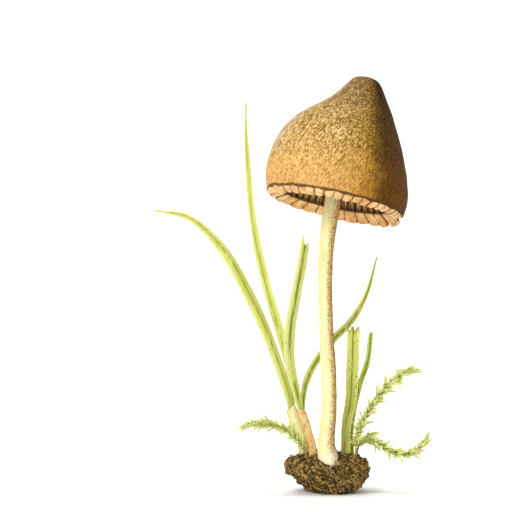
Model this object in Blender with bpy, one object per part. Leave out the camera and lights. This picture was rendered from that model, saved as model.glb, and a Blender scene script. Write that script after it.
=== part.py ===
"""A bell-capped meadow mushroom, standing with the grass and moss that grow round it on a clump of soil.

Metres, +Z up. The origin is the middle of the clump's flat underside. +X is to the right of somebody who
looks along +Y at the front. Every soft or thin piece is a plain closed solid of its real size.
"""

import math

import bpy
import bmesh
from mathutils import Matrix, Vector, noise

GAP = 0.0003  # left between neighbouring solids

# --- the mushroom ---------------------------------------------------------------------------------
RIM_CENTRE = Vector((0.0019, -0.0008, 0.0766))
LEAN_RIGHT = math.radians(12.0)
LEAN_BACK = math.radians(7.0)
CAP_SIDES = 40
# (height above the rim, outer radius, shift to the right) of the cap, from the rim to the top of the umbo
CAP_OUTSIDE = (
    (0.0000, 0.0184, -0.0006),
    (0.0041, 0.0193, -0.0010),
    (0.0094, 0.0186, -0.0016),
    (0.0147, 0.0169, -0.0020),
    (0.0188, 0.0148, -0.0018),
    (0.0220, 0.0125, -0.0011),
    (0.0253, 0.0097, 0.0001),
    (0.0286, 0.0072, 0.0008),
    (0.0313, 0.0054, 0.0010),
    (0.0337, 0.0034, 0.0010),
    (0.0348, 0.0000, 0.0011),
)
FLESH_AT_RIM = 0.0012
FLESH_AT_SHOULDER = 0.0024
SHOULDER_HEIGHT = 0.0235
HOLLOW_TOP = 0.0280  # the flesh of the umbo is solid above this height
RIM_ROUNDING = 0.0005

GILL_COUNT = 30
GILL_WEB = 0.0007  # the thin layer that the gills hang from
# (height above the rim, depth of a gill)
GILL_DEPTH = (
    (0.0012, 0.0012),
    (0.0042, 0.0036),
    (0.0080, 0.0054),
    (0.0134, 0.0064),
    (0.0187, 0.0070),
    (0.0247, 0.0070),
)
GILL_NEAREST_STEM = 0.0028

VEIL_TEETH = 26
VEIL_THICKNESS = 0.0004
VEIL_ROOT = 0.0007  # what is left of the veil between two teeth
VEIL_TOOTH = 0.0027
VEIL_TOOTH_SPREAD = 0.0004
VEIL_INWARD = math.radians(38.0)

STEM_TOP = HOLLOW_TOP - 0.0012
# (x, y, z, radius) of the stem from its base in the soil to the mouth of the cap
STEM_COURSE = (
    (-0.0004, -0.0060, 0.0060, 0.0019),
    (-0.0007, -0.0060, 0.0092, 0.0026),
    (-0.0012, -0.0056, 0.0138, 0.0022),
    (-0.0005, -0.0050, 0.0215, 0.0020),
    (-0.0005, -0.0043, 0.0310, 0.0020),
    (-0.0010, -0.0035, 0.0405, 0.0019),
    (-0.0013, -0.0027, 0.0505, 0.0018),
    (-0.0012, -0.0020, 0.0615, 0.0019),
    (-0.0003, -0.0015, 0.0705, 0.0021),
)

# --- the soil -------------------------------------------------------------------------------------
CLUMP_MIDDLE = Vector((0.0003, 0.0000, 0.0048))
CLUMP_HALF_SIZE = Vector((0.0104, 0.0098, 0.0058))
CLUMP_SQUARENESS = 2.4
CLUMP_TAPER = (0.24, 0.16)  # how much narrower its base is, on the left and on the right
CLUMP_LUMPS = ((170.0, 0.0010), (420.0, 0.0005))  # (waves per metre, height) of each size of lump
SHOULDER_WAY = Vector((-0.90, -0.25, 0.36)).normalized()  # where one shoulder of soil juts out
SHOULDER_REACH = 0.0024
SHOULDER_SPREAD = 0.12
SOCKET_LENGTH = 0.009

# --- the grass ------------------------------------------------------------------------------------
BLADE_THICKNESS = 0.00035
BLADE_FOLD = 0.18  # depth of the fold along the midrib, as a share of the width
# name: (course as (x, y, z, width), twist in degrees), each course from the base to the tip
BLADES = {
    "arching_blade": (
        (
            (-0.0105, -0.0012, 0.0219, 0.0014),
            (-0.0120, -0.0008, 0.0285, 0.0026),
            (-0.0171, -0.0014, 0.0425, 0.0031),
            (-0.0227, -0.0032, 0.0543, 0.0033),
            (-0.0286, -0.0050, 0.0642, 0.0029),
            (-0.0369, -0.0064, 0.0721, 0.0018),
            (-0.0465, -0.0069, 0.0742, 0.0005),
        ),
        20.0,
    ),
    "tall_blade": (
        (
            (-0.0099, -0.0001, 0.0219, 0.0012),
            (-0.0102, 0.0010, 0.0299, 0.0022),
            (-0.0123, 0.0014, 0.0392, 0.0026),
            (-0.0170, 0.0017, 0.0554, 0.0027),
            (-0.0204, 0.0020, 0.0718, 0.0022),
            (-0.0220, 0.0024, 0.0909, 0.0013),
            (-0.0223, 0.0027, 0.1035, 0.0006),
        ),
        -12.0,
    ),
    "torn_blade": (
        (
            (-0.0077, -0.0031, 0.0212, 0.0010),
            (-0.0091, -0.0035, 0.0270, 0.0022),
            (-0.0107, -0.0037, 0.0350, 0.0028),
            (-0.0106, -0.0038, 0.0430, 0.0030),
            (-0.0093, -0.0040, 0.0511, 0.0029),
            (-0.0076, -0.0042, 0.0600, 0.0027),
            (-0.0066, -0.0043, 0.0668, 0.0024),
        ),
        14.0,
    ),
    "crossing_blade": (
        (
            (-0.0072, -0.0023, 0.0212, 0.0010),
            (-0.0066, -0.0002, 0.0280, 0.0019),
            (-0.0038, 0.0022, 0.0340, 0.0021),
            (0.0008, 0.0035, 0.0399, 0.0021),
            (0.0051, 0.0037, 0.0441, 0.0020),
            (0.0082, 0.0035, 0.0487, 0.0016),
            (0.0105, 0.0031, 0.0540, 0.0010),
            (0.0126, 0.0025, 0.0622, 0.0004),
        ),
        10.0,
    ),
    "ribbed_blade": (
        (
            (0.0040, -0.0006, 0.0070, 0.0022),
            (0.0043, -0.0008, 0.0172, 0.0026),
            (0.0055, -0.0010, 0.0240, 0.0031),
            (0.0059, -0.0011, 0.0320, 0.0034),
            (0.0062, -0.0012, 0.0433, 0.0034),
        ),
        -16.0,
    ),
    "blunt_blade": (
        (
            (0.0060, 0.0022, 0.0070, 0.0014),
            (0.0058, 0.0021, 0.0167, 0.0015),
            (0.0076, 0.0019, 0.0268, 0.0017),
            (0.0100, 0.0017, 0.0342, 0.0017),
            (0.0109, 0.0015, 0.0417, 0.0015),
        ),
        22.0,
    ),
}
# name: course as (x, y, z, radius), from the soil to the collar that the blades leave
SHEATHS = {
    "pale_sheath": (
        (-0.0062, -0.0014, 0.0070, 0.0013),
        (-0.0069, -0.0014, 0.0125, 0.0013),
        (-0.0085, -0.0012, 0.0170, 0.0012),
        (-0.0101, -0.0009, 0.0213, 0.0010),
    ),
    "tan_sheath": (
        (-0.0043, -0.0038, 0.0070, 0.0011),
        (-0.0050, -0.0037, 0.0120, 0.0011),
        (-0.0062, -0.0033, 0.0165, 0.0011),
        (-0.0074, -0.0027, 0.0206, 0.0009),
    ),
}

# --- the moss -------------------------------------------------------------------------------------
STALK_RADIUS = 0.00035
MOSS_SIDES = 8
MOSS_WHORL_STEP = 0.0011
LEAF_FORWARD = 0.9  # how far a leaf leans towards the tip, as a share of its reach
# name: (course as (x, y, z), reach of the leaves, length of bare stalk)
SPRIGS = {
    "moss_sprig_upper": (
        (
            (0.0066, -0.0030, 0.0070),
            (0.0070, -0.0032, 0.0145),
            (0.0093, -0.0033, 0.0202),
            (0.0139, -0.0036, 0.0269),
            (0.0192, -0.0040, 0.0316),
            (0.0237, -0.0042, 0.0324),
        ),
        0.0019,
        0.0085,
    ),
    "moss_sprig_lower": (
        (
            (0.0072, 0.0008, 0.0066),
            (0.0076, 0.0007, 0.0114),
            (0.0095, 0.0003, 0.0136),
            (0.0126, -0.0001, 0.0127),
            (0.0176, -0.0007, 0.0101),
            (0.0225, -0.0013, 0.0107),
            (0.0263, -0.0020, 0.0150),
        ),
        0.0018,
        0.0078,
    ),
    "moss_sprig_small": (
        (
            (0.0066, 0.0050, 0.0062),
            (0.0082, 0.0050, 0.0122),
            (0.0106, 0.0049, 0.0153),
            (0.0131, 0.0048, 0.0167),
        ),
        0.0011,
        0.0062,
    ),
    "moss_sprig_left": (
        (
            (-0.0054, -0.0046, 0.0066),
            (-0.0072, -0.0050, 0.0122),
            (-0.0104, -0.0053, 0.0159),
            (-0.0148, -0.0056, 0.0179),
            (-0.0198, -0.0059, 0.0184),
            (-0.0241, -0.0061, 0.0175),
        ),
        0.0016,
        0.0070,
    ),
}

# name: (base colour, roughness); every finish here is non-metallic
FINISHES = {
    "cap_skin": ((0.62, 0.38, 0.13), 0.60),
    "gill_flesh": ((0.16, 0.08, 0.025), 0.80),
    "veil_felt": ((0.78, 0.55, 0.26), 0.75),
    "stem_skin": ((0.80, 0.70, 0.38), 0.65),
    "soil": ((0.075, 0.045, 0.016), 0.95),
    "grass": ((0.45, 0.56, 0.10), 0.50),
    "sheath_pale": ((0.78, 0.72, 0.36), 0.55),
    "sheath_tan": ((0.72, 0.42, 0.14), 0.60),
    "moss": ((0.42, 0.50, 0.09), 0.70),
}


# --- working tools --------------------------------------------------------------------------------
def finish(name):
    """The material of that name, made the first time that it is asked for."""
    material = bpy.data.materials.get(name)
    if material is None:
        colour, roughness = FINISHES[name]
        material = bpy.data.materials.new(name)
        material.use_nodes = True
        shader = material.node_tree.nodes["Principled BSDF"]
        shader.inputs["Base Color"].default_value = (*colour, 1.0)
        shader.inputs["Roughness"].default_value = roughness
        shader.inputs["Metallic"].default_value = 0.0
    return material


def add_object(name, data, material):
    """Puts a mesh or a curve into the scene under its node's name."""
    obj = bpy.data.objects.new(name, data)
    bpy.context.scene.collection.objects.link(obj)
    data.materials.append(finish(material))
    return obj


def smooth_course(points, steps):
    """Rows of values read at even steps from a smooth Catmull-Rom curve through the given ones."""
    ends = (
        [2 * a - b for a, b in zip(points[0], points[1])],
        [2 * a - b for a, b in zip(points[-1], points[-2])],
    )
    knots = [ends[0], *points, ends[1]]
    found = []
    for step in range(steps + 1):
        place = step / steps * (len(points) - 1)
        span = min(int(place), len(points) - 2)
        t = place - span
        before, start, end, after = knots[span : span + 4]
        found.append(
            tuple(
                0.5 * (2 * b + (c - a) * t)
                + 0.5 * ((2 * a - 5 * b + 4 * c - d) * t**2 + (3 * b - 3 * c + d - a) * t**3)
                for a, b, c, d in zip(before, start, end, after)
            )
        )
    return found


def value_at(table, place, column=1):
    """Straight-line reading of one column of a table whose first column rises."""
    if place <= table[0][0]:
        return table[0][column]
    for low, high in zip(table, table[1:]):
        if place <= high[0]:
            share = (place - low[0]) / (high[0] - low[0])
            return low[column] + share * (high[column] - low[column])
    return table[-1][column]


def lofted(name, rings, material, ring_of_rings=False):
    """A closed body skinned over rings of points. Its two ends are filled, or joined to each other."""
    bm = bmesh.new()
    rows = [[bm.verts.new(point) for point in ring] for ring in rings]
    pairs = list(zip(rows, rows[1:]))
    if ring_of_rings:
        pairs.append((rows[-1], rows[0]))
    else:
        bm.faces.new(rows[0])
        bm.faces.new(rows[-1])
    for low, high in pairs:
        for i in range(len(low)):
            j = (i + 1) % len(low)
            bm.faces.new((low[i], low[j], high[j], high[i]))
    bmesh.ops.recalc_face_normals(bm, faces=bm.faces)
    mesh = bpy.data.meshes.new(name)
    bm.to_mesh(mesh)
    bm.free()
    mesh.shade_smooth()
    mesh.set_sharp_from_angle(angle=math.radians(50))
    return add_object(name, mesh, material)


def rounded_tube(name, course, material, steps):
    """A tube of changing radius along a smooth course of (x, y, z, radius)."""
    curve = bpy.data.curves.new(name, "CURVE")
    curve.dimensions = "3D"
    curve.bevel_depth = 1.0
    curve.bevel_resolution = 4
    curve.use_fill_caps = True
    points = smooth_course(course, steps)
    spline = curve.splines.new("POLY")
    spline.points.add(len(points) - 1)
    for point, (x, y, z, radius) in zip(spline.points, points):
        point.co = (x, y, z, 1.0)
        point.radius = radius
    return add_object(name, curve, material)


# --- the mushroom ---------------------------------------------------------------------------------
CAP_FRAME = (
    Matrix.Translation(RIM_CENTRE)
    @ Matrix.Rotation(LEAN_RIGHT, 4, "Y")
    @ Matrix.Rotation(-LEAN_BACK, 4, "X")
)
CAP_CURVE = smooth_course(CAP_OUTSIDE, 30)


def cap_shift(height):
    """How far the cap's middle has moved to the right at that height above the rim."""
    return value_at(CAP_CURVE, height, 2)


def in_cap(angle, radius, height):
    """A point in the row frame from its place round the cap's own axis."""
    local = Vector((cap_shift(height) + radius * math.cos(angle), radius * math.sin(angle), height))
    return CAP_FRAME @ local


def flesh_thickness(height):
    """Thickness of the cap's flesh, thin at the rim and thicker at the shoulder."""
    share = min(height / SHOULDER_HEIGHT, 1.0)
    return FLESH_AT_RIM + share * (FLESH_AT_SHOULDER - FLESH_AT_RIM)


def hollow_radius(height):
    """Radius of the hollow under the flesh, which closes in a flat dome at its top."""
    radius = value_at(CAP_CURVE, height) - flesh_thickness(height)
    dome = math.sqrt(max(0.0, 1.0 - (height / HOLLOW_TOP) ** 10))
    return radius * dome


def ring(radius, height, sides):
    """One ring of points round the cap's axis."""
    return [in_cap(2 * math.pi * i / sides, radius, height) for i in range(sides)]


def make_cap():
    """The bell of the cap: its skin, flesh and rounded rim as one shell, open underneath."""
    pole = 0.0002
    outside = [(max(radius, pole), height) for height, radius, _ in reversed(CAP_CURVE)]
    under = [(outside[-1][0] - FLESH_AT_RIM / 2, -RIM_ROUNDING)]
    heights = [HOLLOW_TOP * (1 - (1 - i / 12) ** 1.6) for i in range(12)] + [HOLLOW_TOP * 0.999]
    inside = [(max(hollow_radius(height), pole), height) for height in heights]
    rings = [ring(radius, height, CAP_SIDES) for radius, height in outside + under + inside]
    lofted("cap", rings, "cap_skin")


def make_gills():
    """The ring of gills under the flesh: thin fins that reach in towards the stem."""
    sides = 2 * GILL_COUNT
    heights = [height for height, _ in GILL_DEPTH]
    outer = [ring(hollow_radius(height) - GAP, height, sides) for height in heights]
    inner = []
    for height in reversed(heights):
        root = hollow_radius(height) - GAP - GILL_WEB
        edge = max(hollow_radius(height) - GAP - value_at(GILL_DEPTH, height), GILL_NEAREST_STEM)
        inner.append(
            [
                in_cap(2 * math.pi * i / sides, edge if i % 2 else max(root, edge), height)
                for i in range(sides)
            ]
        )
    lofted("gills", outer + inner, "gill_flesh", ring_of_rings=True)


def tooth_length(tooth):
    """Length of one tooth of the torn veil. The lengths differ, in a fixed pattern."""
    return VEIL_TOOTH + VEIL_TOOTH_SPREAD * math.sin(2.4 * tooth + 1.0)


def make_veil():
    """What is left of the veil: a skirt of pointed flaps that hang from the rim and curl in."""
    per_tooth = 4
    shape = (0.0, 0.72, 1.0, 0.72)  # length across one tooth, from the gap over the shoulder to the tip
    sides = VEIL_TEETH * per_tooth
    start_radius = CAP_CURVE[0][1] - FLESH_AT_RIM / 2
    start_height = -RIM_ROUNDING - GAP

    def point(i, share, inside):
        tooth, part = divmod(i, per_tooth)
        length = (VEIL_ROOT + shape[part] * (tooth_length(tooth) - VEIL_ROOT)) * share
        lean = VEIL_INWARD * (0.4 + 0.6 * share)
        radius = start_radius - length * math.sin(lean) - (VEIL_THICKNESS if inside else 0.0)
        return in_cap(2 * math.pi * i / sides, radius, start_height - length * math.cos(lean))

    shares = (0.0, 0.5, 1.0)
    outer = [[point(i, share, False) for i in range(sides)] for share in shares]
    inner = [[point(i, share, True) for i in range(sides)] for share in reversed(shares)]
    lofted("veil_fringe", outer + inner, "veil_felt", ring_of_rings=True)


def stem_course():
    """The stem's course from the soil, through the mouth of the cap, to the flesh of the umbo."""
    inside = []
    for height, radius in ((0.006, 0.0020), (0.014, 0.0019), (0.021, 0.0018), (STEM_TOP, 0.0018)):
        x, y, z = in_cap(0.0, 0.0, height)
        inside.append((x, y, z, radius))
    return (*STEM_COURSE, *inside)


# --- the grass ------------------------------------------------------------------------------------
def make_blade(name, course, twist):
    """A grass blade: a strip folded along its midrib, thickened into a solid."""
    steps = 3 * (len(course) - 1)
    stations = smooth_course(course, steps)
    places = [Vector(station[:3]) for station in stations]
    bm = bmesh.new()
    rows = []
    for i, (place, station) in enumerate(zip(places, stations)):
        along = (places[min(i + 1, steps)] - places[max(i - 1, 0)]).normalized()
        across = along.cross(Vector((0, 1, 0))).normalized()
        across = Matrix.Rotation(math.radians(twist), 3, along) @ across
        half = station[3] / 2
        dip = along.cross(across) * (station[3] * BLADE_FOLD)
        rows.append([bm.verts.new(p) for p in (place - across * half, place + dip, place + across * half)])
    for low, high in zip(rows, rows[1:]):
        bm.faces.new((low[0], low[1], high[1], high[0]))
        bm.faces.new((low[1], low[2], high[2], high[1]))
    mesh = bpy.data.meshes.new(name)
    bm.to_mesh(mesh)
    bm.free()
    mesh.shade_smooth()
    blade = add_object(name, mesh, "grass")
    solidify = blade.modifiers.new("thickness", "SOLIDIFY")
    solidify.thickness = BLADE_THICKNESS
    solidify.offset = 0.0


# --- the moss -------------------------------------------------------------------------------------
def make_sprig(name, course, reach, bare):
    """A moss shoot: a thin stalk with whorls of pointed leaves past its bare foot."""
    fine = [Vector(point) for point in smooth_course(course, 60)]
    lengths = [0.0]
    for low, high in zip(fine, fine[1:]):
        lengths.append(lengths[-1] + (high - low).length)
    table = [(length, *point) for length, point in zip(lengths, fine)]
    whorls = int((lengths[-1] - bare) / MOSS_WHORL_STEP)
    stations = [(0.0, False), (bare * 0.5, False)]
    for whorl in range(whorls):
        base = bare + whorl * MOSS_WHORL_STEP
        stations += [(base, False), (base + 0.5 * MOSS_WHORL_STEP, True)]
    stations.append((lengths[-1], False))
    rings = []
    for count, (length, leafy) in enumerate(stations):
        middle, ahead, behind = (
            Vector([value_at(table, place, column) for column in (1, 2, 3)])
            for place in (length, length + 0.0005, max(length - 0.0005, 0.0))
        )
        along = (ahead - behind).normalized()
        across = along.cross(Vector((0, 1, 0))).normalized()
        up = along.cross(across)
        near_tip = min(1.0, (lengths[-1] - length) / (3 * MOSS_WHORL_STEP) + 0.35)
        points = []
        for i in range(MOSS_SIDES):
            angle = 2 * math.pi * i / MOSS_SIDES
            out = across * math.cos(angle) + up * math.sin(angle)
            is_leaf = leafy and (i + count // 2) % 2 == 0
            size = reach * near_tip if is_leaf else STALK_RADIUS
            forward = along * (size * LEAF_FORWARD) if is_leaf else Vector()
            points.append(middle + out * size + forward)
        rings.append(points)
    lofted(name, rings, "moss")


# --- the soil -------------------------------------------------------------------------------------
def make_clump(roots):
    """The clump of soil: a lumpy block with a flat underside, and a socket for each piece rooted in it."""
    bm = bmesh.new()
    bmesh.ops.create_icosphere(bm, subdivisions=3, radius=1.0)
    for vert in bm.verts:
        direction = vert.co.normalized()
        powers = sum(abs(value) ** CLUMP_SQUARENESS for value in direction)
        shape = direction / powers ** (1 / CLUMP_SQUARENESS)
        place = Vector([a * b for a, b in zip(shape, CLUMP_HALF_SIZE)])
        place.x *= 1 - CLUMP_TAPER[direction.x > 0] * max(0.0, -direction.z) ** 0.6
        for waves, height in CLUMP_LUMPS:
            place += direction * (noise.noise(place * waves) * height)
        jut = max(0.0, 1 - (1 - direction.dot(SHOULDER_WAY)) / SHOULDER_SPREAD)
        vert.co = place + direction * (SHOULDER_REACH * jut) + CLUMP_MIDDLE
    cut = bmesh.ops.bisect_plane(
        bm, geom=[*bm.verts, *bm.edges, *bm.faces], plane_no=(0, 0, -1), clear_outer=True
    )
    edges = [item for item in cut["geom_cut"] if isinstance(item, bmesh.types.BMEdge)]
    bmesh.ops.contextual_create(bm, geom=edges)
    bmesh.ops.recalc_face_normals(bm, faces=bm.faces)
    mesh = bpy.data.meshes.new("soil_clump")
    bm.to_mesh(mesh)
    bm.free()
    clump = add_object("soil_clump", mesh, "soil")
    for number, (start, ahead, radius) in enumerate(roots):
        cut_socket(clump, number, Vector(start), Vector(ahead), radius + GAP)


def cut_socket(clump, number, start, ahead, radius):
    """Cuts a round socket for one rooted piece, along the way that the piece leaves the soil."""
    along = (ahead - start).normalized()
    bm = bmesh.new()
    bmesh.ops.create_cone(
        bm,
        cap_ends=True,
        segments=12,
        radius1=radius,
        radius2=radius,
        depth=SOCKET_LENGTH,
        matrix=Matrix.Translation(start + along * (SOCKET_LENGTH / 2 - GAP))
        @ along.to_track_quat("Z", "Y").to_matrix().to_4x4(),
    )
    mesh = bpy.data.meshes.new(f"socket_cutter_{number}")
    bm.to_mesh(mesh)
    bm.free()
    cutter = bpy.data.objects.new(mesh.name, mesh)
    bpy.context.scene.collection.objects.link(cutter)
    cutter.hide_render = True
    cutter.display_type = "WIRE"
    boolean = clump.modifiers.new(f"socket_{number}", "BOOLEAN")
    boolean.operation = "DIFFERENCE"
    boolean.object = cutter


def rooted_pieces():
    """(base, next point, radius) of every piece that stands in the soil."""
    found = [(STEM_COURSE[0][:3], STEM_COURSE[1][:3], max(point[3] for point in STEM_COURSE))]
    for course in SHEATHS.values():
        found.append((course[0][:3], course[1][:3], course[0][3]))
    for name in ("ribbed_blade", "blunt_blade"):
        course, _ = BLADES[name]
        found.append((course[0][:3], course[1][:3], course[1][3] / 2))
    for course, _, _ in SPRIGS.values():
        found.append((course[0], course[1], STALK_RADIUS))
    return found


def main():
    for obj in list(bpy.data.objects):
        bpy.data.objects.remove(obj)
    make_cap()
    make_gills()
    make_veil()
    rounded_tube("stem", stem_course(), "stem_skin", 36)
    for name, (course, twist) in BLADES.items():
        make_blade(name, course, twist)
    rounded_tube("pale_sheath", SHEATHS["pale_sheath"], "sheath_pale", 9)
    rounded_tube("tan_sheath", SHEATHS["tan_sheath"], "sheath_tan", 9)
    for name, (course, reach, bare) in SPRIGS.items():
        make_sprig(name, course, reach, bare)
    make_clump(rooted_pieces())


main()
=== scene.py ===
"""A bell-capped meadow mushroom with the grass, moss and soil that it grows with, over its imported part.

Everything is in metres, +Z up, with the origin in the middle of the clump's flat underside.
"""

from __future__ import annotations

import logging
import math
import random
from dataclasses import dataclass, field
from enum import Enum
from typing import Callable, Sequence

import bmesh
import bpy
from mathutils import Matrix, Vector, noise

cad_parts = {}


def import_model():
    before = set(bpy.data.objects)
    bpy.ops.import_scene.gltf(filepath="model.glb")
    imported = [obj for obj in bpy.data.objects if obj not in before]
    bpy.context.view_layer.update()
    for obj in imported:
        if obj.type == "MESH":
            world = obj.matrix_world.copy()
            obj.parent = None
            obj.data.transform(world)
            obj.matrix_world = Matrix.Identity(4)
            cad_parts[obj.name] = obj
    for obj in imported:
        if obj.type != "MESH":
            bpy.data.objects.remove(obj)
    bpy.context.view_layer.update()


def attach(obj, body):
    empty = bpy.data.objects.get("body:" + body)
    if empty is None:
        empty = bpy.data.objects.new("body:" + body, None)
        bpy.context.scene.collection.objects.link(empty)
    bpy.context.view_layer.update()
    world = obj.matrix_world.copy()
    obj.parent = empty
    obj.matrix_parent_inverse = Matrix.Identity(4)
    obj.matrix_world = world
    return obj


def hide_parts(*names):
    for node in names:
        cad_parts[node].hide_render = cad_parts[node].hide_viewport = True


log = logging.getLogger("meadow_mushroom")

BODY = "root"
GOLDEN_ANGLE = math.radians(137.5)
Socket = bpy.types.NodeSocket
Row = Sequence[float]
Colour = tuple[float, float, float, float]
Shape = Callable[[float, float], Vector]


# --- courses and outlines ---
def smooth_course(points: Sequence[Row], steps: int) -> list[tuple[float, ...]]:
    """Reads a smooth Catmull-Rom curve through rows of numbers at even steps.

    Args:
        points: the rows that the curve passes through.
        steps: how many equal steps are read.

    Returns:
        The rows read, one more than the steps.
    """
    first = [2 * a - b for a, b in zip(points[0], points[1])]
    last = [2 * a - b for a, b in zip(points[-1], points[-2])]
    knots = [first, *points, last]
    found = []
    for step in range(steps + 1):
        place = step / steps * (len(points) - 1)
        span = min(int(place), len(points) - 2)
        t = place - span
        four = zip(*knots[span : span + 4])
        found.append(
            tuple(
                0.5
                * (2 * b + (c - a) * t + (2 * a - 5 * b + 4 * c - d) * t**2 + (3 * b - 3 * c + d - a) * t**3)
                for a, b, c, d in four
            )
        )
    return found


def value_at(table: Sequence[Row], place: float, column: int = 1) -> float:
    """Reads one column of a table whose first column rises.

    Args:
        table: rows of numbers.
        place: where to read, in the first column's units.
        column: which column to read.

    Returns:
        The value there, on a straight line between the two nearest rows.
    """
    if place <= table[0][0]:
        return table[0][column]
    for low, high in zip(table, table[1:]):
        if place <= high[0]:
            share = (place - low[0]) / (high[0] - low[0])
            return low[column] + share * (high[column] - low[column])
    return table[-1][column]


def ease(value: float, low: float, high: float) -> float:
    """A smooth step from 0 at low to 1 at high."""
    share = min(max((value - low) / (high - low), 0.0), 1.0)
    return share * share * (3 - 2 * share)


@dataclass(frozen=True)
class Station:
    """One place along a course, with its directions, its size and its share of the way from foot to tip."""

    place: Vector
    along: Vector
    across: Vector
    up: Vector
    size: float
    share: float


def stations(course: Sequence[Row], steps: int, twist: float = 0.0, twist_end: float = 0.0) -> list[Station]:
    """Places of even spacing in the course's own parameter.

    Args:
        course: rows of x, y, z and size, from the foot to the tip.
        steps: how many equal steps.
        twist: turn of the across direction about the course at the foot, in degrees.
        twist_end: the same at the tip.

    Returns:
        The stations, one more than the steps.
    """
    rows = smooth_course(course, steps)
    places = [Vector(row[:3]) for row in rows]
    found = []
    for number, (row, place) in enumerate(zip(rows, places)):
        share = number / steps
        along = (places[min(number + 1, steps)] - places[max(number - 1, 0)]).normalized()
        across = along.cross(Vector((0, 1, 0))).normalized()
        turn = math.radians(twist + (twist_end - twist) * share)
        across = Matrix.Rotation(turn, 3, along) @ across
        found.append(Station(place, along, across, along.cross(across), max(row[3], 1e-5), share))
    return found


def outward(station: Station, turn: float) -> Vector:
    """The direction at an angle round a course, at right angles to it."""
    return station.across * math.cos(turn) + station.up * math.sin(turn)


def ring(sides: int) -> list[float]:
    """Even places round a closed section, in turns."""
    return [step / sides for step in range(sides)]


def strip(columns: int) -> list[float]:
    """Even places across a strip, from -1 to 1."""
    return [2 * step / columns - 1 for step in range(columns + 1)]


# --- meshes in the making ---
class Making:
    """A mesh in the making. Its points carry the numbers that the finishes read."""

    def __init__(self) -> None:
        """Starts an empty mesh with its point layers."""
        self.bm = bmesh.new()
        layers = self.bm.verts.layers
        self.seat = layers.int.new("seat")
        self.along = layers.float.new("along")
        self.across = layers.float.new("across")
        self.tint = layers.float.new("tint")

    def mark(self, vert: bmesh.types.BMVert, along: float, across: float, tint: float = 0.0) -> None:
        """Stores a point's place along and across its piece, and its piece's own tint."""
        vert[self.along] = along
        vert[self.across] = across
        vert[self.tint] = tint

    def sweep(
        self,
        section: Sequence[float],
        course: Sequence[Station],
        place: Callable[[float, Station], Vector],
        closed: bool,
    ) -> None:
        """Draws a section along a course, by extruding its edges one station at a time.

        Args:
            section: a number for each point of the section: an angle in turns, or -1 to 1 across a strip.
            course: the stations to pass through.
            place: gives a section point's position at a station.
            closed: whether the section's last point joins its first, which also fills both ends.
        """
        bm = self.bm
        row = [bm.verts.new(place(part, course[0])) for part in section]
        for number, (vert, part) in enumerate(zip(row, section)):
            vert[self.seat] = number
            self.mark(vert, 0.0, part)
        pairs = list(zip(row, row[1:]))
        if closed:
            pairs.append((row[-1], row[0]))
        edges = [bm.edges.new(pair) for pair in pairs]
        ends = [list(edges)]
        for station in course[1:]:
            grown = bmesh.ops.extrude_edge_only(bm, edges=edges)["geom"]
            edges = [item for item in grown if isinstance(item, bmesh.types.BMEdge)]
            for vert in (item for item in grown if isinstance(item, bmesh.types.BMVert)):
                part = section[vert[self.seat]]
                vert.co = place(part, station)
                self.mark(vert, station.share, part)
        if closed:
            ends.append(edges)
            for rim in ends:
                bmesh.ops.holes_fill(bm, edges=rim, sides=0)

    def flap(self, columns: int, rows: int, place: Shape, tint: float) -> None:
        """Shapes one small grid into a flap, such as a leaf or a tooth.

        Args:
            columns: faces across.
            rows: faces along.
            place: gives a position from -1 to 1 across and 0 to 1 along.
            tint: the flap's own tint.
        """
        made = bmesh.ops.create_grid(self.bm, x_segments=columns, y_segments=rows, size=1.0)["verts"]
        for vert in made:
            across, along = vert.co.x, (vert.co.y + 1) / 2
            vert.co = place(across, along)
            self.mark(vert, along, across, tint)

    def close(self, name: str) -> bpy.types.Mesh:
        """Turns every face outwards and hands over the finished mesh.

        Args:
            name: the mesh's name.

        Returns:
            The mesh, shaded smooth.
        """
        bmesh.ops.recalc_face_normals(self.bm, faces=self.bm.faces)
        mesh = bpy.data.meshes.new(name)
        self.bm.to_mesh(mesh)
        self.bm.free()
        mesh.shade_smooth()
        return mesh


def put(
    name: str,
    mesh: bpy.types.Mesh,
    finishes: Sequence[bpy.types.Material],
    slot: str,
    nodes: Sequence[str],
) -> bpy.types.Object:
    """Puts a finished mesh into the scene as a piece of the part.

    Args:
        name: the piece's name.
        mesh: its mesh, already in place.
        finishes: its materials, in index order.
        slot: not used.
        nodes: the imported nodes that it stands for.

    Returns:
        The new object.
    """
    piece = bpy.data.objects.new(name, mesh)
    bpy.context.scene.collection.objects.link(piece)
    for finish in finishes:
        mesh.materials.append(finish)
    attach(piece, BODY)
    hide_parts(*nodes)
    log.info("%s: %d faces, stands for %s", name, len(mesh.polygons), ", ".join(nodes))
    return piece


def thicken(piece: bpy.types.Object, thickness: float, rounding: int = 0, offset: float = 0.0) -> None:
    """Gives a sheet its thickness, and rounds it.

    Args:
        piece: the object.
        thickness: in metres.
        rounding: subdivision levels.
        offset: which side grows, from -1 to 1.
    """
    wall = piece.modifiers.new("thickness", "SOLIDIFY")
    wall.thickness = thickness
    wall.offset = offset
    if rounding:
        smooth = piece.modifiers.new("rounding", "SUBSURF")
        smooth.levels = rounding
        smooth.render_levels = rounding


# --- finishes ---
def tone(red: int, green: int, blue: int) -> Colour:
    """A display colour, 0 to 255 each, as the linear colour that a shader takes."""

    def linear(value: float) -> float:
        """One channel."""
        value /= 255
        return value / 12.92 if value <= 0.04045 else ((value + 0.055) / 1.055) ** 2.4

    return (linear(red), linear(green), linear(blue), 1.0)


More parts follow.
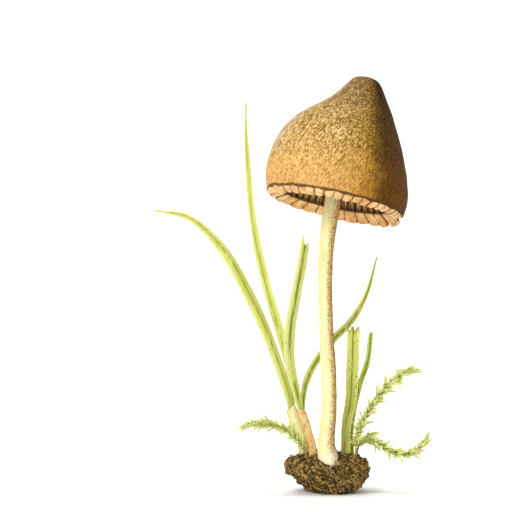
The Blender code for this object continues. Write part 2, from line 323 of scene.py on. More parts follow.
class Recipe:
    """Lays out the nodes of one material."""

    def __init__(
        self, name: str, roughness: float, sheen: float = 0.0, subsurface: float = 0.0, gloss: float = 0.3
    ) -> None:
        """Makes the material and sets the numbers that are the same all over it.

        Args:
            name: the material's name.
            roughness: of the surface.
            sheen: weight of the sheen.
            subsurface: weight of light that passes under the skin.
            gloss: level of the mirror-like reflection.
        """
        self.material = bpy.data.materials.new(name)
        self.material.use_nodes = True
        self.nodes = self.material.node_tree.nodes
        self.links = self.material.node_tree.links
        self.shader = self.nodes["Principled BSDF"]
        settings = {
            "Roughness": roughness,
            "Sheen Weight": sheen,
            "Subsurface Weight": subsurface,
            "Subsurface Radius": (0.0016, 0.0010, 0.0005),
            "Subsurface Scale": 0.6,
            "Specular IOR Level": gloss,
        }
        for key, value in settings.items():
            self.shader.inputs[key].default_value = value

    def add(self, kind: str, **settings: object) -> bpy.types.Node:
        """A new node of that kind, with its settings."""
        node = self.nodes.new(kind)
        for key, value in settings.items():
            setattr(node, key, value)
        return node

    def feed(self, node: bpy.types.Node, **values: object) -> None:
        """Links sockets to a node's inputs, or sets the inputs to values. From_Min stands for From Min."""
        for key, value in values.items():
            socket = node.inputs[key.replace("_", " ")]
            if isinstance(value, Socket):
                self.links.new(value, socket)
            else:
                socket.default_value = value

    def place(self, scale: Row = (1, 1, 1)) -> Socket:
        """The point's place in the part's frame, scaled."""
        where = self.add("ShaderNodeTexCoord").outputs["Object"]
        mapping = self.add("ShaderNodeMapping", vector_type="TEXTURE")
        self.feed(mapping, Vector=where, Scale=tuple(1 / value for value in scale))
        return mapping.outputs["Vector"]

    def read(self, layer: str, output: str = "Fac") -> Socket:
        """A number that the piece's points carry, or with the output Vector a vector."""
        return self.add("ShaderNodeAttribute", attribute_name=layer).outputs[output]

    def clouds(self, where: Socket, scale: float, detail: float = 4.0, bend: float = 0.0) -> Socket:
        """Soft noise, 0 to 1."""
        node = self.add("ShaderNodeTexNoise")
        self.feed(node, Vector=where, Scale=scale, Detail=detail, Distortion=bend)
        return node.outputs["Fac"]

    def cells(self, where: Socket, scale: float, output: str = "Distance") -> Socket:
        """Voronoi cells: the distance to the nearest middle, or that cell's colour."""
        node = self.add("ShaderNodeTexVoronoi")
        self.feed(node, Vector=where, Scale=scale)
        return node.outputs[output]

    def ramp(self, value: Socket, stops: Sequence[tuple[float, Row]]) -> Socket:
        """Turns a number into a colour, through the given stops."""
        node = self.add("ShaderNodeValToRGB")
        elements = node.color_ramp.elements
        while len(elements) < len(stops):
            elements.new(0.5)
        for element, (position, colour) in zip(elements, stops):
            element.position = position
            element.color = colour
        self.feed(node, Fac=value)
        return node.outputs["Color"]

    def between(self, value: Socket, low: float, high: float) -> Socket:
        """Rescales a number so that low is 0 and high is 1, and holds it there."""
        node = self.add("ShaderNodeMapRange", interpolation_type="SMOOTHSTEP")
        self.feed(node, Value=value, From_Min=low, From_Max=high)
        return node.outputs["Result"]

    def calc(self, operation: str, *values: object) -> Socket:
        """One step of arithmetic on numbers."""
        node = self.add("ShaderNodeMath", operation=operation)
        for socket, value in zip(node.inputs, values):
            if isinstance(value, Socket):
                self.links.new(value, socket)
            else:
                socket.default_value = value
        return node.outputs[0]

    def times(self, first: object, *others: object) -> object:
        """The product of numbers."""
        for other in others:
            first = self.calc("MULTIPLY", first, other)
        return first

    def uneven(self, value: Socket, pattern: Socket, amount: float) -> Socket:
        """A number moved up or down by at most half the amount, by a pattern from 0 to 1."""
        return self.calc("ADD", value, self.times(self.calc("SUBTRACT", pattern, 0.5), amount))

    def veins(self, across: Socket, waves: float) -> Socket:
        """Fine lines along a strip, 0 to 1."""
        return self.calc("MULTIPLY_ADD", self.calc("SINE", self.times(across, waves)), 0.5, 0.5)

    def mix(self, share: object, low: object, high: object, blend: str = "MIX") -> Socket:
        """Mixes two colours."""
        node = self.add("ShaderNodeMix", data_type="RGBA", blend_type=blend)
        for index, value in ((0, share), (6, low), (7, high)):
            if isinstance(value, Socket):
                self.links.new(value, node.inputs[index])
            else:
                node.inputs[index].default_value = value
        return node.outputs[2]

    def tint(self, base: object, colour: Row, *shares: object, blend: str = "MIX") -> Socket:
        """Lays a colour over the base, by the product of the shares."""
        return self.mix(self.times(*shares), base, colour, blend)

    def relief(self, height: Socket, depth: float, strength: float = 1.0) -> None:
        """Raises the surface by a height pattern.

        Args:
            height: the pattern, 0 to 1.
            depth: how far it rises, in metres.
            strength: share of it that shows.
        """
        node = self.add("ShaderNodeBump")
        self.feed(node, Strength=strength, Distance=depth, Height=height)
        normal = self.shader.inputs["Normal"]
        if normal.links:
            self.links.new(normal.links[0].from_socket, node.inputs["Normal"])
        self.links.new(node.outputs["Normal"], normal)

    def colour(self, value: Socket) -> bpy.types.Material:
        """Sets the surface's colour and hands over the material."""
        self.links.new(value, self.shader.inputs["Base Color"])
        return self.material


@dataclass(frozen=True)
class CapSkinFinish:
    """Dry ochre skin with a fine streaked grain, browner on the knob; yellower and darker towards the right,
    partly its own tone and partly painted shade, then painted shade out to the right edge, with a painted
    sheen along the left edge.
    """

    pale: Row = tone(246, 220, 158)
    brown: Row = tone(128, 88, 34)
    dark: Row = tone(70, 46, 16)
    # gold-yellow tone towards the right side: partly the skin's own colour, partly painted shade
    golden_and_shade: Row = (0.72, 0.65, 0.22, 1.0)
    # painted shade, multiplied in down the cap's right side
    shade: Row = (0.26, 0.19, 0.15, 1.0)
    # painted sheen: a pale greyish band along the cap's lit left edge
    edge_sheen: Row = tone(206, 184, 156)
    lip: Row = tone(82, 50, 20)
    bands: Sequence[tuple[float, Row]] = (
        (0.0, tone(230, 172, 98)),
        (0.22, tone(226, 172, 92)),
        (0.42, tone(196, 152, 80)),
        (0.60, tone(172, 134, 66)),
        (0.80, tone(122, 90, 40)),
        (1.0, tone(92, 66, 26)),
    )

    def make(self) -> bpy.types.Material:
        """Builds the material."""
        r = Recipe("cap_skin", 0.8, subsurface=0.05, gloss=0.12)
        flow = r.read("flow", "Vector")
        grain = r.clouds(flow, 1.9, detail=1.0, bend=0.9)
        fleck = r.clouds(flow, 3.6, detail=1.0, bend=0.5)
        patch = r.clouds(r.place(), 210, detail=3.0)
        height, side = r.read("along"), r.read("across")
        base = r.ramp(r.uneven(height, patch, 0.25), self.bands)
        # painted sheen along the left edge, on the lit side
        base = r.tint(base, self.edge_sheen, r.between(side, -0.72, -0.98), r.between(height, 0.10, 0.45), 0.7)
        strong = r.calc("ADD", 0.55, r.times(r.between(height, 0.05, 0.5), 0.45))
        faded = r.calc("SUBTRACT", 0.62, r.times(r.between(height, 0.55, 0.95), 0.30))
        base = r.tint(base, self.pale, r.between(grain, 0.51, 0.60), strong, faded)
        base = r.tint(base, self.brown, r.between(grain, 0.49, 0.40), strong, 0.80)
        base = r.tint(base, self.dark, r.between(fleck, 0.45, 0.36), strong, 0.85)
        # partly the skin's own gold-yellow tone, partly painted shade: the right half multiplied yellower and
        # darker
        base = r.tint(base, self.golden_and_shade, r.between(side, -0.25, 0.50), blend="MULTIPLY")
        # painted shade: the right side multiplied darker out to its edge, made uneven by the patch noise
        shaded = r.uneven(side, patch, 0.25)
        base = r.tint(base, self.shade, r.between(shaded, 0.22, 0.68), blend="MULTIPLY")
        base = r.tint(base, self.lip, r.between(r.uneven(height, patch, 0.03), 0.011, 0.003), 0.85)
        r.relief(grain, 0.00018, 0.8)
        r.relief(fleck, 0.00008, 0.6)
        return r.colour(base)


@dataclass(frozen=True)
class FleshFinish:
    """The pale flesh of the cap's underside and of its folded margin, with painted shade along the flaps'
    side edges and near the lip, standing in for the shade in its creases.
    """

    pale: Row = tone(242, 204, 142)
    warm: Row = tone(222, 168, 98)
    spot: Row = tone(176, 116, 56)
    # painted shade for the creases between the flaps and under the lip
    crease: Row = tone(98, 58, 22)

    def make(self) -> bpy.types.Material:
        """Builds the material."""
        r = Recipe("margin_flesh", 0.7, sheen=0.1, subsurface=0.1)
        mottle = r.clouds(r.place(), 900, detail=3.0, bend=0.3)
        broad = r.clouds(r.place(), 260, detail=2.0)
        edge = r.between(r.calc("ABSOLUTE", r.read("across")), 0.66, 0.94)
        root = r.between(r.read("along"), 0.14, 0.0)
        base = r.tint(self.pale, self.warm, r.between(broad, 0.35, 0.65))
        base = r.tint(base, self.spot, r.between(mottle, 0.50, 0.36), 0.45)
        # painted shade: darker along the flaps' side edges, where they overlap, and near the lip
        base = r.tint(base, self.crease, r.calc("MAXIMUM", edge, root), 0.9)
        r.relief(mottle, 0.00008, 0.7)
        return r.colour(base)


@dataclass(frozen=True)
class GillFinish:
    """Gills mottled with ripening dark spores, paler along their edges."""

    dark: Row = tone(206, 158, 90)
    brown: Row = tone(232, 188, 118)
    edge: Row = tone(240, 204, 138)

    def make(self) -> bpy.types.Material:
        """Builds the material."""
        r = Recipe("gill_flesh", 0.85)
        spots = r.clouds(r.place(), 700, detail=3.0, bend=0.5)
        base = r.tint(self.dark, self.brown, r.between(spots, 0.40, 0.60))
        base = r.tint(base, self.edge, r.between(r.read("across"), 0.80, 1.0), 0.8)
        r.relief(spots, 0.00005, 0.5)
        return r.colour(base)


@dataclass(frozen=True)
class StemFinish:
    """A cream stem with long fibres, powdered with brown grains; its right side carries painted shade, straw
    to tan to a dark edge, with the brown grains laid thicker there as part of that shade.
    """

    cream: Row = tone(250, 242, 186)
    butter: Row = tone(240, 220, 150)
    # straw and tan grade the right side darker as painted shade; tan also colours fine grains all over
    straw: Row = tone(228, 196, 122)
    tan: Row = tone(196, 154, 86)
    brown: Row = tone(138, 96, 44)
    # painted shade along the stem's right edge
    rim: Row = tone(112, 78, 38)
    foot: Row = tone(250, 246, 224)

    def make(self) -> bpy.types.Material:
        """Builds the material."""
        r = Recipe("stem_skin", 0.6, sheen=0.08, subsurface=0.12)
        fibre = r.clouds(r.place((1, 1, 0.06)), 1500, detail=3.0, bend=0.2)
        grain = r.clouds(r.place(), 2300, detail=1.0, bend=0.5)
        side = r.read("across")
        base = r.tint(self.cream, self.butter, r.between(fibre, 0.42, 0.62))
        # painted shade: straw, then tan, darker towards the right side
        base = r.tint(base, self.straw, r.between(side, -0.05, 0.45), 0.55)
        base = r.tint(base, self.tan, r.between(side, 0.30, 0.85), 0.85)
        # real brown grains, laid on thicker down the right side as painted shade
        base = r.tint(base, self.brown, r.between(grain, 0.52, 0.40), r.between(side, -0.25, 0.55), 0.85)
        # painted shade: the dark right edge
        base = r.tint(base, self.rim, r.between(side, 0.80, 0.98), 0.8)
        base = r.tint(base, self.tan, r.between(grain, 0.36, 0.26), 0.35)
        base = r.tint(base, self.foot, r.between(r.read("along"), 0.16, 0.04), 0.8)
        r.relief(fibre, 0.00010, 0.6)
        r.relief(grain, 0.00007, 0.7)
        return r.colour(base)


@dataclass(frozen=True)
class BladeFinish:
    """A grass blade: a pale margin, a greener middle and fine veins along it."""

    name: str
    margin: Row
    middle: Row
    stripe: Row
    stripe_width: float
    stripe_strength: float
    speckle: float = 0.3
    dry_end: float = 0.0
    spot_colour: Row = tone(132, 136, 44)
    dry_colour: Row = tone(132, 108, 56)

    def make(self) -> bpy.types.Material:
        """Builds the material."""
        r = Recipe(self.name, 0.5, subsurface=0.15)
        across, along = r.read("across"), r.read("along")
        wide = r.calc("ABSOLUTE", across)
        veins = r.veins(across, 24.0)
        streak = r.clouds(r.place((1, 1, 0.12)), 1300, detail=3.0, bend=0.3)
        spot = r.clouds(r.place(), 1500, detail=2.0)
        wash = r.clouds(r.place((1, 1, 0.5)), 140, detail=2.0)
        middle = r.between(wide, self.stripe_width, 0.04)
        base = r.tint(self.margin, self.middle, r.between(wide, 0.95, 0.45))
        base = r.tint(base, self.margin, r.between(wash, 0.35, 0.7), 0.45)
        base = r.tint(base, self.stripe, middle, self.stripe_strength, r.between(streak, 0.30, 0.55))
        base = r.tint(base, self.stripe, veins, 0.28, r.between(along, 1.0, 0.7))
        base = r.tint(base, self.spot_colour, r.between(spot, 0.42, 0.32), self.speckle)
        if self.dry_end:
            end = r.between(r.calc("ADD", along, r.times(spot, 0.04)), 0.985, 1.02)
            base = r.tint(base, self.dry_colour, end, self.dry_end)
        r.relief(veins, 0.00006, 0.6)
        r.relief(streak, 0.00004, 0.5)
        return r.colour(base)


@dataclass(frozen=True)
class SheathFinish:
    """A dry leaf sheath with raised veins and rusty speckles."""

    name: str
    pale: Row
    warm: Row
    rust: Row
    speckle: float

    def make(self) -> bpy.types.Material:
        """Builds the material."""
        r = Recipe(self.name, 0.55, subsurface=0.1)
        veins = r.veins(r.read("across"), 34.0)
        spot = r.clouds(r.place((1, 1, 0.6)), 1300, detail=3.0, bend=0.3)
        broad = r.clouds(r.place((1, 1, 0.4)), 260, detail=2.0)
        base = r.tint(self.pale, self.warm, r.between(broad, 0.35, 0.65))
        base = r.tint(base, self.rust, veins, 0.25)
        base = r.tint(base, self.rust, r.between(spot, 0.50, 0.36), self.speckle)
        r.relief(veins, 0.00008, 0.7)
        r.relief(spot, 0.00005, 0.5)
        return r.colour(base)


@dataclass(frozen=True)
class MossFinish:
    """Yellow-green moss leaves with a greener rib, browner at the stalk."""

    light: Row = tone(240, 242, 172)
    green: Row = tone(204, 214, 104)
    olive: Row = tone(140, 148, 52)

    def make(self) -> bpy.types.Material:
        """Builds the material."""
        r = Recipe("moss_leaf", 0.6, subsurface=0.3)
        rib = r.between(r.calc("ABSOLUTE", r.read("across")), 0.5, 0.0)
        spot = r.clouds(r.place(), 2200, detail=2.0)
        base = r.tint(self.green, self.light, r.read("tint"))
        base = r.tint(base, self.olive, r.between(r.read("along"), 0.40, 0.0), 0.65)
        base = r.tint(base, self.green, rib, 0.4)
        base = r.tint(base, self.olive, r.between(spot, 0.5, 0.35), 0.3)
        r.relief(spot, 0.00003, 0.5)
        return r.colour(base)


@dataclass(frozen=True)
class StreakFinish:
    """A thin dry fibre, streaked with two colours."""

    name: str
    roughness: float
    streaks: float
    dark: Row
    light: Row

    def make(self) -> bpy.types.Material:
        """Builds the material."""
        r = Recipe(self.name, self.roughness)
        return r.colour(r.tint(self.dark, self.light, r.clouds(r.place(), self.streaks, detail=2.0)))


@dataclass(frozen=True)
class SoilFinish:
    """Dark crumbly earth with olive and tan specks."""

    grit: Sequence[tuple[float, Row]] = (
        (0.32, tone(34, 22, 6)),
        (0.45, tone(82, 58, 22)),
        (0.55, tone(126, 96, 42)),
        (0.66, tone(200, 168, 96)),
    )
    olive: Row = tone(122, 106, 38)
    sand: Row = tone(202, 166, 88)
    crumb: Row = tone(172, 140, 70)
    crack: Row = tone(26, 16, 5)

    def make(self) -> bpy.types.Material:
        """Builds the material."""
        r = Recipe("soil", 0.95)
        where = r.place()
        fine = r.clouds(where, 2600, detail=3.0)
        cell = r.cells(where, 900)
        split = r.add("ShaderNodeSeparateXYZ")
        r.feed(split, Vector=r.cells(where, 700, output="Color"))
        hue = split.outputs["X"]
        base = r.ramp(r.clouds(where, 1300, detail=3.0, bend=0.5), self.grit)
        base = r.tint(base, self.olive, r.between(hue, 0.74, 0.88), 0.45)
        base = r.tint(base, self.sand, r.between(hue, 0.20, 0.08), 0.6)
        base = r.tint(base, self.crumb, r.read("tint"), 0.7)
        base = r.tint(base, self.crack, r.between(cell, 0.40, 0.80), 0.7)
        r.relief(cell, 0.00035, 0.8)
        r.relief(fine, 0.00015, 0.7)
        return r.colour(base)


# --- the mushroom ---
@dataclass
class Bell:
    """The cap's own frame, outline and hollow, which everything under it is fitted to."""

    rim_centre: Vector = field(default_factory=lambda: Vector((0.0019, -0.0008, 0.0766)))
    lean_right: float = math.radians(12.0)
    lean_back: float = math.radians(7.0)
    outline: Sequence[Row] = (
        (0.0000, 0.0184, -0.0006),
        (0.0041, 0.0193, -0.0010),
        (0.0094, 0.0186, -0.0016),
        (0.0147, 0.0169, -0.0020),
        (0.0188, 0.0148, -0.0018),
        (0.0220, 0.0125, -0.0011),
        (0.0253, 0.0097, 0.0001),
        (0.0286, 0.0072, 0.0008),
        (0.0313, 0.0054, 0.0010),
        (0.0337, 0.0034, 0.0010),
        (0.0348, 0.0000, 0.0011),
    )
    flesh_at_rim: float = 0.0012
    flesh_at_shoulder: float = 0.0024
    shoulder: float = 0.0235
    hollow_top: float = 0.0280

    def __post_init__(self) -> None:
        """Works out the frame and the smooth outline once."""
        self.frame = (
            Matrix.Translation(self.rim_centre)
            @ Matrix.Rotation(self.lean_right, 4, "Y")
            @ Matrix.Rotation(-self.lean_back, 4, "X")
        )
        self.curve = smooth_course(self.outline, 110)

    def height(self) -> float:
        """From the rim to the top of the knob."""
        return self.outline[-1][0]

    def radius(self, height: float) -> float:
        """Outer radius at a height above the rim."""
        return value_at(self.curve, height)

    def hollow(self, height: float) -> float:
        """Radius of the hollow at a height above the rim."""
        share = min(max(height, 0.0) / self.shoulder, 1.0)
        flesh = self.flesh_at_rim + share * (self.flesh_at_shoulder - self.flesh_at_rim)
        dome = math.sqrt(max(0.0, 1.0 - (max(height, 0.0) / self.hollow_top) ** 10))
        return (self.radius(height) - flesh) * dome

    def place(self, turn: float, radius: float, height: float) -> Vector:
        """A point of the part's frame, from its angle, radius and height in the cap's own frame."""
        shift = value_at(self.curve, height, 2)
        local = Vector((shift + radius * math.cos(turn), radius * math.sin(turn), height))
        return self.frame @ local

    def facing(self, turn: float) -> float:
        """How much that side of the rim faces the front, where the mouth shows: 1 in front, 0 behind."""
        return 0.5 - 0.5 * math.sin(turn)


@dataclass
class CapSkin:
    """The bell itself: skin outside, flesh inside and a rounded wavy lip."""

    bell: Bell
    around: int = 208
    lip: float = 0.0005
    swell: float = 0.00028
    grain_width: float = 0.00084
    grain_across: Row = (0.97, -0.34)
    grain_along: float = 0.36

    def profile(self) -> list[tuple[float, float, float]]:
        """Rows of radius, height and 1 for flesh or 0 for skin, from the knob round the lip to the hollow."""
        bell = self.bell
        rows = [(radius, height, 0.0) for height, radius, _ in reversed(bell.curve)]
        rim = rows[-1][0]
        half = bell.flesh_at_rim / 2
        for step in range(1, 6):
            turn = math.pi * step / 6
            rows.append((rim - half + half * math.cos(turn), -self.lip * math.sin(turn), step / 6))
        for step in range(25):
            height = bell.hollow_top * 0.999 * math.sin(math.pi / 2 * step / 24)
            rows.append((max(bell.hollow(height), 0.0), height, 1.0))
        rows.append((0.0, bell.hollow_top, 1.0))
        return rows

    def build(self, skin: bpy.types.Material, flesh: bpy.types.Material) -> None:
        """Spins the profile, then shapes it.

        Args:
            skin: the outside's material.
            flesh: the hollow's material.
        """
        made = Making()
        bm = made.bm
        flow = bm.verts.layers.float_vector.new("flow")
        row = []
        for radius, height, inside in self.profile():
            vert = bm.verts.new((radius, 0, height))
            made.mark(vert, max(height, 0.0) / self.bell.height(), 0.0, inside)
            row.append(vert)
        edges = [bm.edges.new(pair) for pair in zip(row, row[1:])]
        bmesh.ops.spin(
            bm,
            geom=[*row, *edges],
            cent=(0, 0, 0),
            axis=(0, 0, 1),
            angle=math.tau,
            steps=self.around,
            use_merge=True,
        )
        bmesh.ops.remove_doubles(bm, verts=bm.verts, dist=1e-6)
        for vert in bm.verts:
            self.shape(vert, made, flow)
        for face in bm.faces:
            face.material_index = int(sum(vert[made.tint] for vert in face.verts) / len(face.verts) > 0.55)
        put("cap_skin", made.close("cap_skin"), (skin, flesh), "cap_skin", ("cap",))

    def shape(self, vert: bmesh.types.BMVert, made: Making, flow: bmesh.types.BMLayerItem) -> None:
        """Moves one point from the plain spun bell to its place, with its swells and its wavy lip.

        Args:
            vert: the point.
            made: the mesh in the making.
            flow: the layer for the grain's direction.
        """
        radius = math.hypot(vert.co.x, vert.co.y)
        turn = math.atan2(vert.co.y, vert.co.x)
        height = vert.co.z
        outside = 1.0 - vert[made.tint]
        girth = 0.15 * self.bell.outline[0][1] + 0.85 * radius
        beside, behind = math.cos(turn) * girth, math.sin(turn) * girth
        slanted = self.grain_across[0] * beside + self.grain_across[1] * height
        vert[flow] = Vector((slanted, behind, self.grain_along * height)) / self.grain_width
        place = self.bell.place(turn, radius, height)
        near_lip = ease(height, 0.006, 0.0)
        wave = 0.00014 * math.sin(17 * turn + 0.7) + 0.00010 * math.sin(29 * turn + 2.1)
        swell = noise.noise(place * 95) * self.swell + noise.noise(place * 330) * self.swell * 0.35
        push = outside * swell * ease(radius, 0.0, 0.004) + near_lip * wave
        out = self.bell.place(turn, radius + 0.001, height) - place
        down = self.bell.frame.to_3x3() @ Vector((0, 0, -1))
        vert.co = place + out * (push / 0.001) + down * (near_lip * 0.5 * wave)
        vert[made.across] = math.cos(turn)


@dataclass
class Gills:
    """Thin plates under the flesh: full ones that reach in towards the stem, and shorter ones between."""

    bell: Bell
    full: int = 52
    depths: Sequence[Row] = (
        (0.0008, 0.0008),
        (0.0030, 0.0034),
        (0.0060, 0.0058),
        (0.0110, 0.0072),
        (0.0187, 0.0078),
        (0.0245, 0.0070),
    )
    thickness: float = 0.00030
    clear_of_stem: float = 0.0026

    def build(self, finish: bpy.types.Material) -> None:
        """Builds every plate as a flap, then gives them all their thickness."""
        made = Making()
        chance = random.Random(11)
        for number in range(self.full * 2):
            short = number % 2
            turn = math.tau * number / (self.full * 2)
            reach = chance.uniform(0.32, 0.50) if short else chance.uniform(0.94, 1.0)
            top = 0.55 if short else 1.0
            wave = chance.uniform(-1, 1) * 0.012
            made.flap(2, 12, self.plate(turn, reach, top, wave), tint=chance.random())
        piece = put("gill_plates", made.close("gill_plates"), (finish,), "gill_flesh", ("gills",))
        thicken(piece, self.thickness)

    def plate(self, turn: float, reach: float, top: float, wave: float) -> Shape:
        """The shape of one plate.

        Args:
            turn: its place round the cap.
            reach: share of the full depth.
            top: share of the full height.
            wave: how far its edge sways, in radians.

        Returns:
            A position from -1 at the flesh to 1 at the free edge, and 0 to 1 upwards.
        """
        low, high = self.depths[0][0], self.depths[-1][0]

        def place(across: float, along: float) -> Vector:
            """One point of the plate."""
            height = low + (high - low) * along * top
            root = self.bell.hollow(height) + 0.0001
            depth = value_at(self.depths, height) * reach
            edge = max(root - depth, self.clear_of_stem)
            share = (across + 1) / 2
            sway = wave * share * math.sin(5 * along + 9 * turn)
            return self.bell.place(turn + sway, root + (edge - root) * share, height)

        return place


@dataclass
class Margin:
    """The folded margin: rounded lobes inside the lip, and a row of narrow veil teeth that hang from it."""

    bell: Bell
    lobes: int = 30
    teeth: int = 44
    lobe_top: float = 0.0007
    lobe_drop_front: float = 0.0006
    lobe_drop_back: float = 0.0020
    lobe_inward: float = 0.0021
    lobe_overlap: float = 1.30
    lobe_pad: float = 0.0006
    lobe_lap: float = 0.0004
    lobe_skew: float = 0.9
    tooth_front: float = 0.0027
    tooth_back: float = 0.0010
    tooth_overlap: float = 1.08
    tooth_bulge: float = 0.00026
    tooth_lap: float = 0.00012
    tooth_slant: float = 0.16
    tooth_lean: Row = (22.0, 30.0)
    lobe_thickness: float = 0.0005
    tooth_thickness: float = 0.00032

    def build(self, finish: bpy.types.Material) -> None:
        """Builds the lobes and the teeth as two pieces."""
        chance = random.Random(5)
        lobes = Making()
        for number in range(self.lobes):
            turn = math.tau * (number + chance.uniform(-0.12, 0.12)) / self.lobes
            lobes.flap(8, 8, self.lobe(turn, chance.uniform(0.93, 1.07)), tint=chance.random())
        piece = put("margin_lobes", lobes.close("margin_lobes"), (finish,), "veil_felt", ("veil_fringe",))
        thicken(piece, self.lobe_thickness, 1)
        teeth = Making()
        for number in range(self.teeth):
            turn = math.tau * (number + chance.uniform(-0.12, 0.12)) / self.teeth
            teeth.flap(6, 7, self.tooth(turn, chance.uniform(0.92, 1.08)), tint=chance.random())
        piece = put("veil_teeth", teeth.close("veil_teeth"), (finish,), "veil_felt", ("veil_fringe",))
        thicken(piece, self.tooth_thickness, 1)

    def lobe(self, turn: float, size: float) -> Shape:
        """The shape of one lobe, a rounded pad that overlaps its neighbour.

        Args:
            turn: its place round the rim.
            size: its own share of the usual size.

        Returns:
            A position from -1 to 1 across, and 0 at the top to 1 at the free edge.
        """
        bell = self.bell
        facing = bell.facing(turn)
        drop = self.lobe_drop_back + (self.lobe_drop_front - self.lobe_drop_back) * ease(facing, 0.35, 0.95)
        drop *= size * (1.0 + 0.32 * math.cos(turn))
        half = math.pi / self.lobes * self.lobe_overlap
        inner = bell.hollow(self.lobe_top) - self.lobe_inward
        outer = bell.radius(0.0) - 0.0004 - 0.0018 * ease(facing, 0.42, 0.70)
        side = -math.cos(turn)

        def place(across: float, along: float) -> Vector:
            """One point of the lobe."""
            narrow = 1.0 - 0.16 * along**6
            round_end = drop * (1 - 0.20 * abs(across) ** 3.0)
            height = self.lobe_top - (self.lobe_top + round_end) * along
            radius = inner + (outer - inner) * math.sin(math.pi / 2 * min(along * 1.15, 1.0))
            pad = self.lobe_pad * (1 - across**2) * math.sin(math.pi * (0.1 + 0.8 * along))
            lap = self.lobe_lap * across * (1 if side > 0 else -1)
            skew = self.lobe_skew * side * half * (along - 0.5)
            return bell.place(turn + across * half * narrow + skew, radius - pad - lap, height)

        return place

    def tooth(self, turn: float, size: float) -> Shape:
        """The shape of one tooth, a narrow slanted flap that hangs from the lip and curls in.

        Args:
            turn: its place round the rim.
            size: its own share of the usual length.

        Returns:
            A position from -1 to 1 across, and 0 at the lip to 1 at the tip.
        """
        bell = self.bell
        facing = bell.facing(turn)
        length = (self.tooth_back + (self.tooth_front - self.tooth_back) * ease(facing, 0.3, 0.8)) * size
        half = math.pi / self.teeth * self.tooth_overlap
        open_side = ease(facing, 0.45, 0.70)
        start = bell.radius(0.0) - 0.00035

        def place(across: float, along: float) -> Vector:
            """One point of the tooth."""
            narrow = 1.0 - 0.05 * along - (0.08 + 0.26 * open_side) * along**6
            lean = math.radians(self.tooth_lean[0] + self.tooth_lean[1] * along)
            bulge = self.tooth_bulge * (1 - across**2) * math.sin(math.pi * along)
            lap = self.tooth_lap * (1 + across)
            radius = start - length * along * math.sin(lean) + bulge - lap
            height = -0.0001 - length * along * math.cos(lean) * (1 - 0.14 * across**2)
            slant = -self.tooth_slant * length * along / start
            return bell.place(turn + across * half * narrow + slant, radius, height)

        return place


@dataclass
class Stem:
    """The stem, from its swollen white foot to the flesh of the cap."""

    bell: Bell
    course: Sequence[Row] = (
        (-0.0004, -0.0060, 0.0060, 0.0019),
        (-0.0007, -0.0060, 0.0092, 0.0026),
        (-0.0012, -0.0056, 0.0138, 0.0022),
        (-0.0005, -0.0050, 0.0215, 0.0020),
        (-0.0005, -0.0043, 0.0310, 0.0020),
        (-0.0010, -0.0035, 0.0405, 0.0019),
        (-0.0013, -0.0027, 0.0505, 0.0018),
        (-0.0012, -0.0020, 0.0615, 0.0019),
        (-0.0003, -0.0015, 0.0705, 0.0021),
    )
    inside: Sequence[Row] = ((0.006, 0.0020), (0.014, 0.0019), (0.021, 0.0018), (0.0263, 0.0019))
    sides: int = 44
    steps: int = 190
    roughness: float = 0.00007

    def build(self, finish: bpy.types.Material) -> None:
        """Sweeps the stem along its course."""
        rows = [*self.course]
        for height, radius in self.inside:
            rows.append((*self.bell.place(0.0, 0.0, height), radius))
        made = Making()
        course = stations(rows, self.steps)
        made.sweep(ring(self.sides), course, self.surface, closed=True)
        for vert in made.bm.verts:
            vert[made.across] = -math.cos(math.tau * vert[made.across])
        put("stem_skin", made.close("stem_skin"), (finish,), "stem_skin", ("stem",))

    def surface(self, part: float, station: Station) -> Vector:
        """A point of the stem's skin: round, with long shallow flutes and fine grains.

        Args:
            part: angle in turns.
            station: the place along the stem.

        Returns:
            The position.
        """
        turn = math.tau * part
        out = outward(station, turn)
        place = station.place + out * station.size
        flute = 0.00006 * math.sin(7 * turn + 2.0 * station.share)
        flute += 0.00004 * math.sin(13 * turn + 5 * station.share)
        grain = (noise.noise(place * 1900) + noise.noise(place * 800)) * self.roughness
        return place + out * (flute + grain)


# --- the grass ---
class Tip(Enum):
    """How a grass blade ends."""

    WHOLE = "drawn out to a point"
    FORKED = "broken off with two teeth"
    RAGGED = "broken off ragged"
    BLUNT = "broken off nearly square"


@dataclass
class GrassBlade:
    """One grass blade: a ribbed strip, folded along its midrib."""

    node: str
    course: Sequence[Row]
    finish: str
    tip: Tip = Tip.WHOLE
    twist: float = 0.0
    twist_end: float = 0.0
    fold: float = 0.18
    ribs: int = 4
    columns: int = 14
    steps: int = 60
    thickness: float = 0.00026

    def build(self, finish: bpy.types.Material) -> None:
        """Sweeps the strip and gives it its thickness."""
        made = Making()
        course = stations(self.course, self.steps, self.twist, self.twist_end)
        made.sweep(strip(self.columns), course, self.surface, closed=False)
        piece = put(f"grass_{self.node}", made.close(self.node), (finish,), "grass", (self.node,))
        thicken(piece, self.thickness, 1)

    def surface(self, part: float, station: Station) -> Vector:
        """A point of the blade.

        Args:
            part: -1 to 1 across the blade.
            station: the place along it.

        Returns:
            The position.
        """
        half = station.size / 2
        fold = station.size * self.fold * (1 - abs(part) ** 1.4)
        rib = 0.00005 * math.cos(math.pi * self.ribs * part) * ease(half, 0.0004, 0.0010)
        sway = 0.00008 * math.sin(31 * station.share + 2 * part)
        place = station.place + station.across * (part * half) + station.up * (fold + rib + sway)
        near_end = ease(station.share, 0.86, 1.0)
        return place + station.along * (near_end * self.end_length(part))

    def end_length(self, part: float) -> float:
        """How far the end stands out beyond the course at that place across the blade."""
        if self.tip is Tip.FORKED:
            left = math.exp(-(((part - 0.62) / 0.30) ** 2)) * 0.0032
            right = math.exp(-(((part + 0.62) / 0.28) ** 2)) * 0.0010
            return left + right - 0.0008
        if self.tip is Tip.RAGGED:
            return 0.0007 * math.sin(7.3 * part + 0.6) + 0.0004 * math.sin(17 * part + 1.9)
        if self.tip is Tip.BLUNT:
            return 0.0004 * (1 - part * part) + 0.00012 * math.sin(9 * part)
        return 0.0


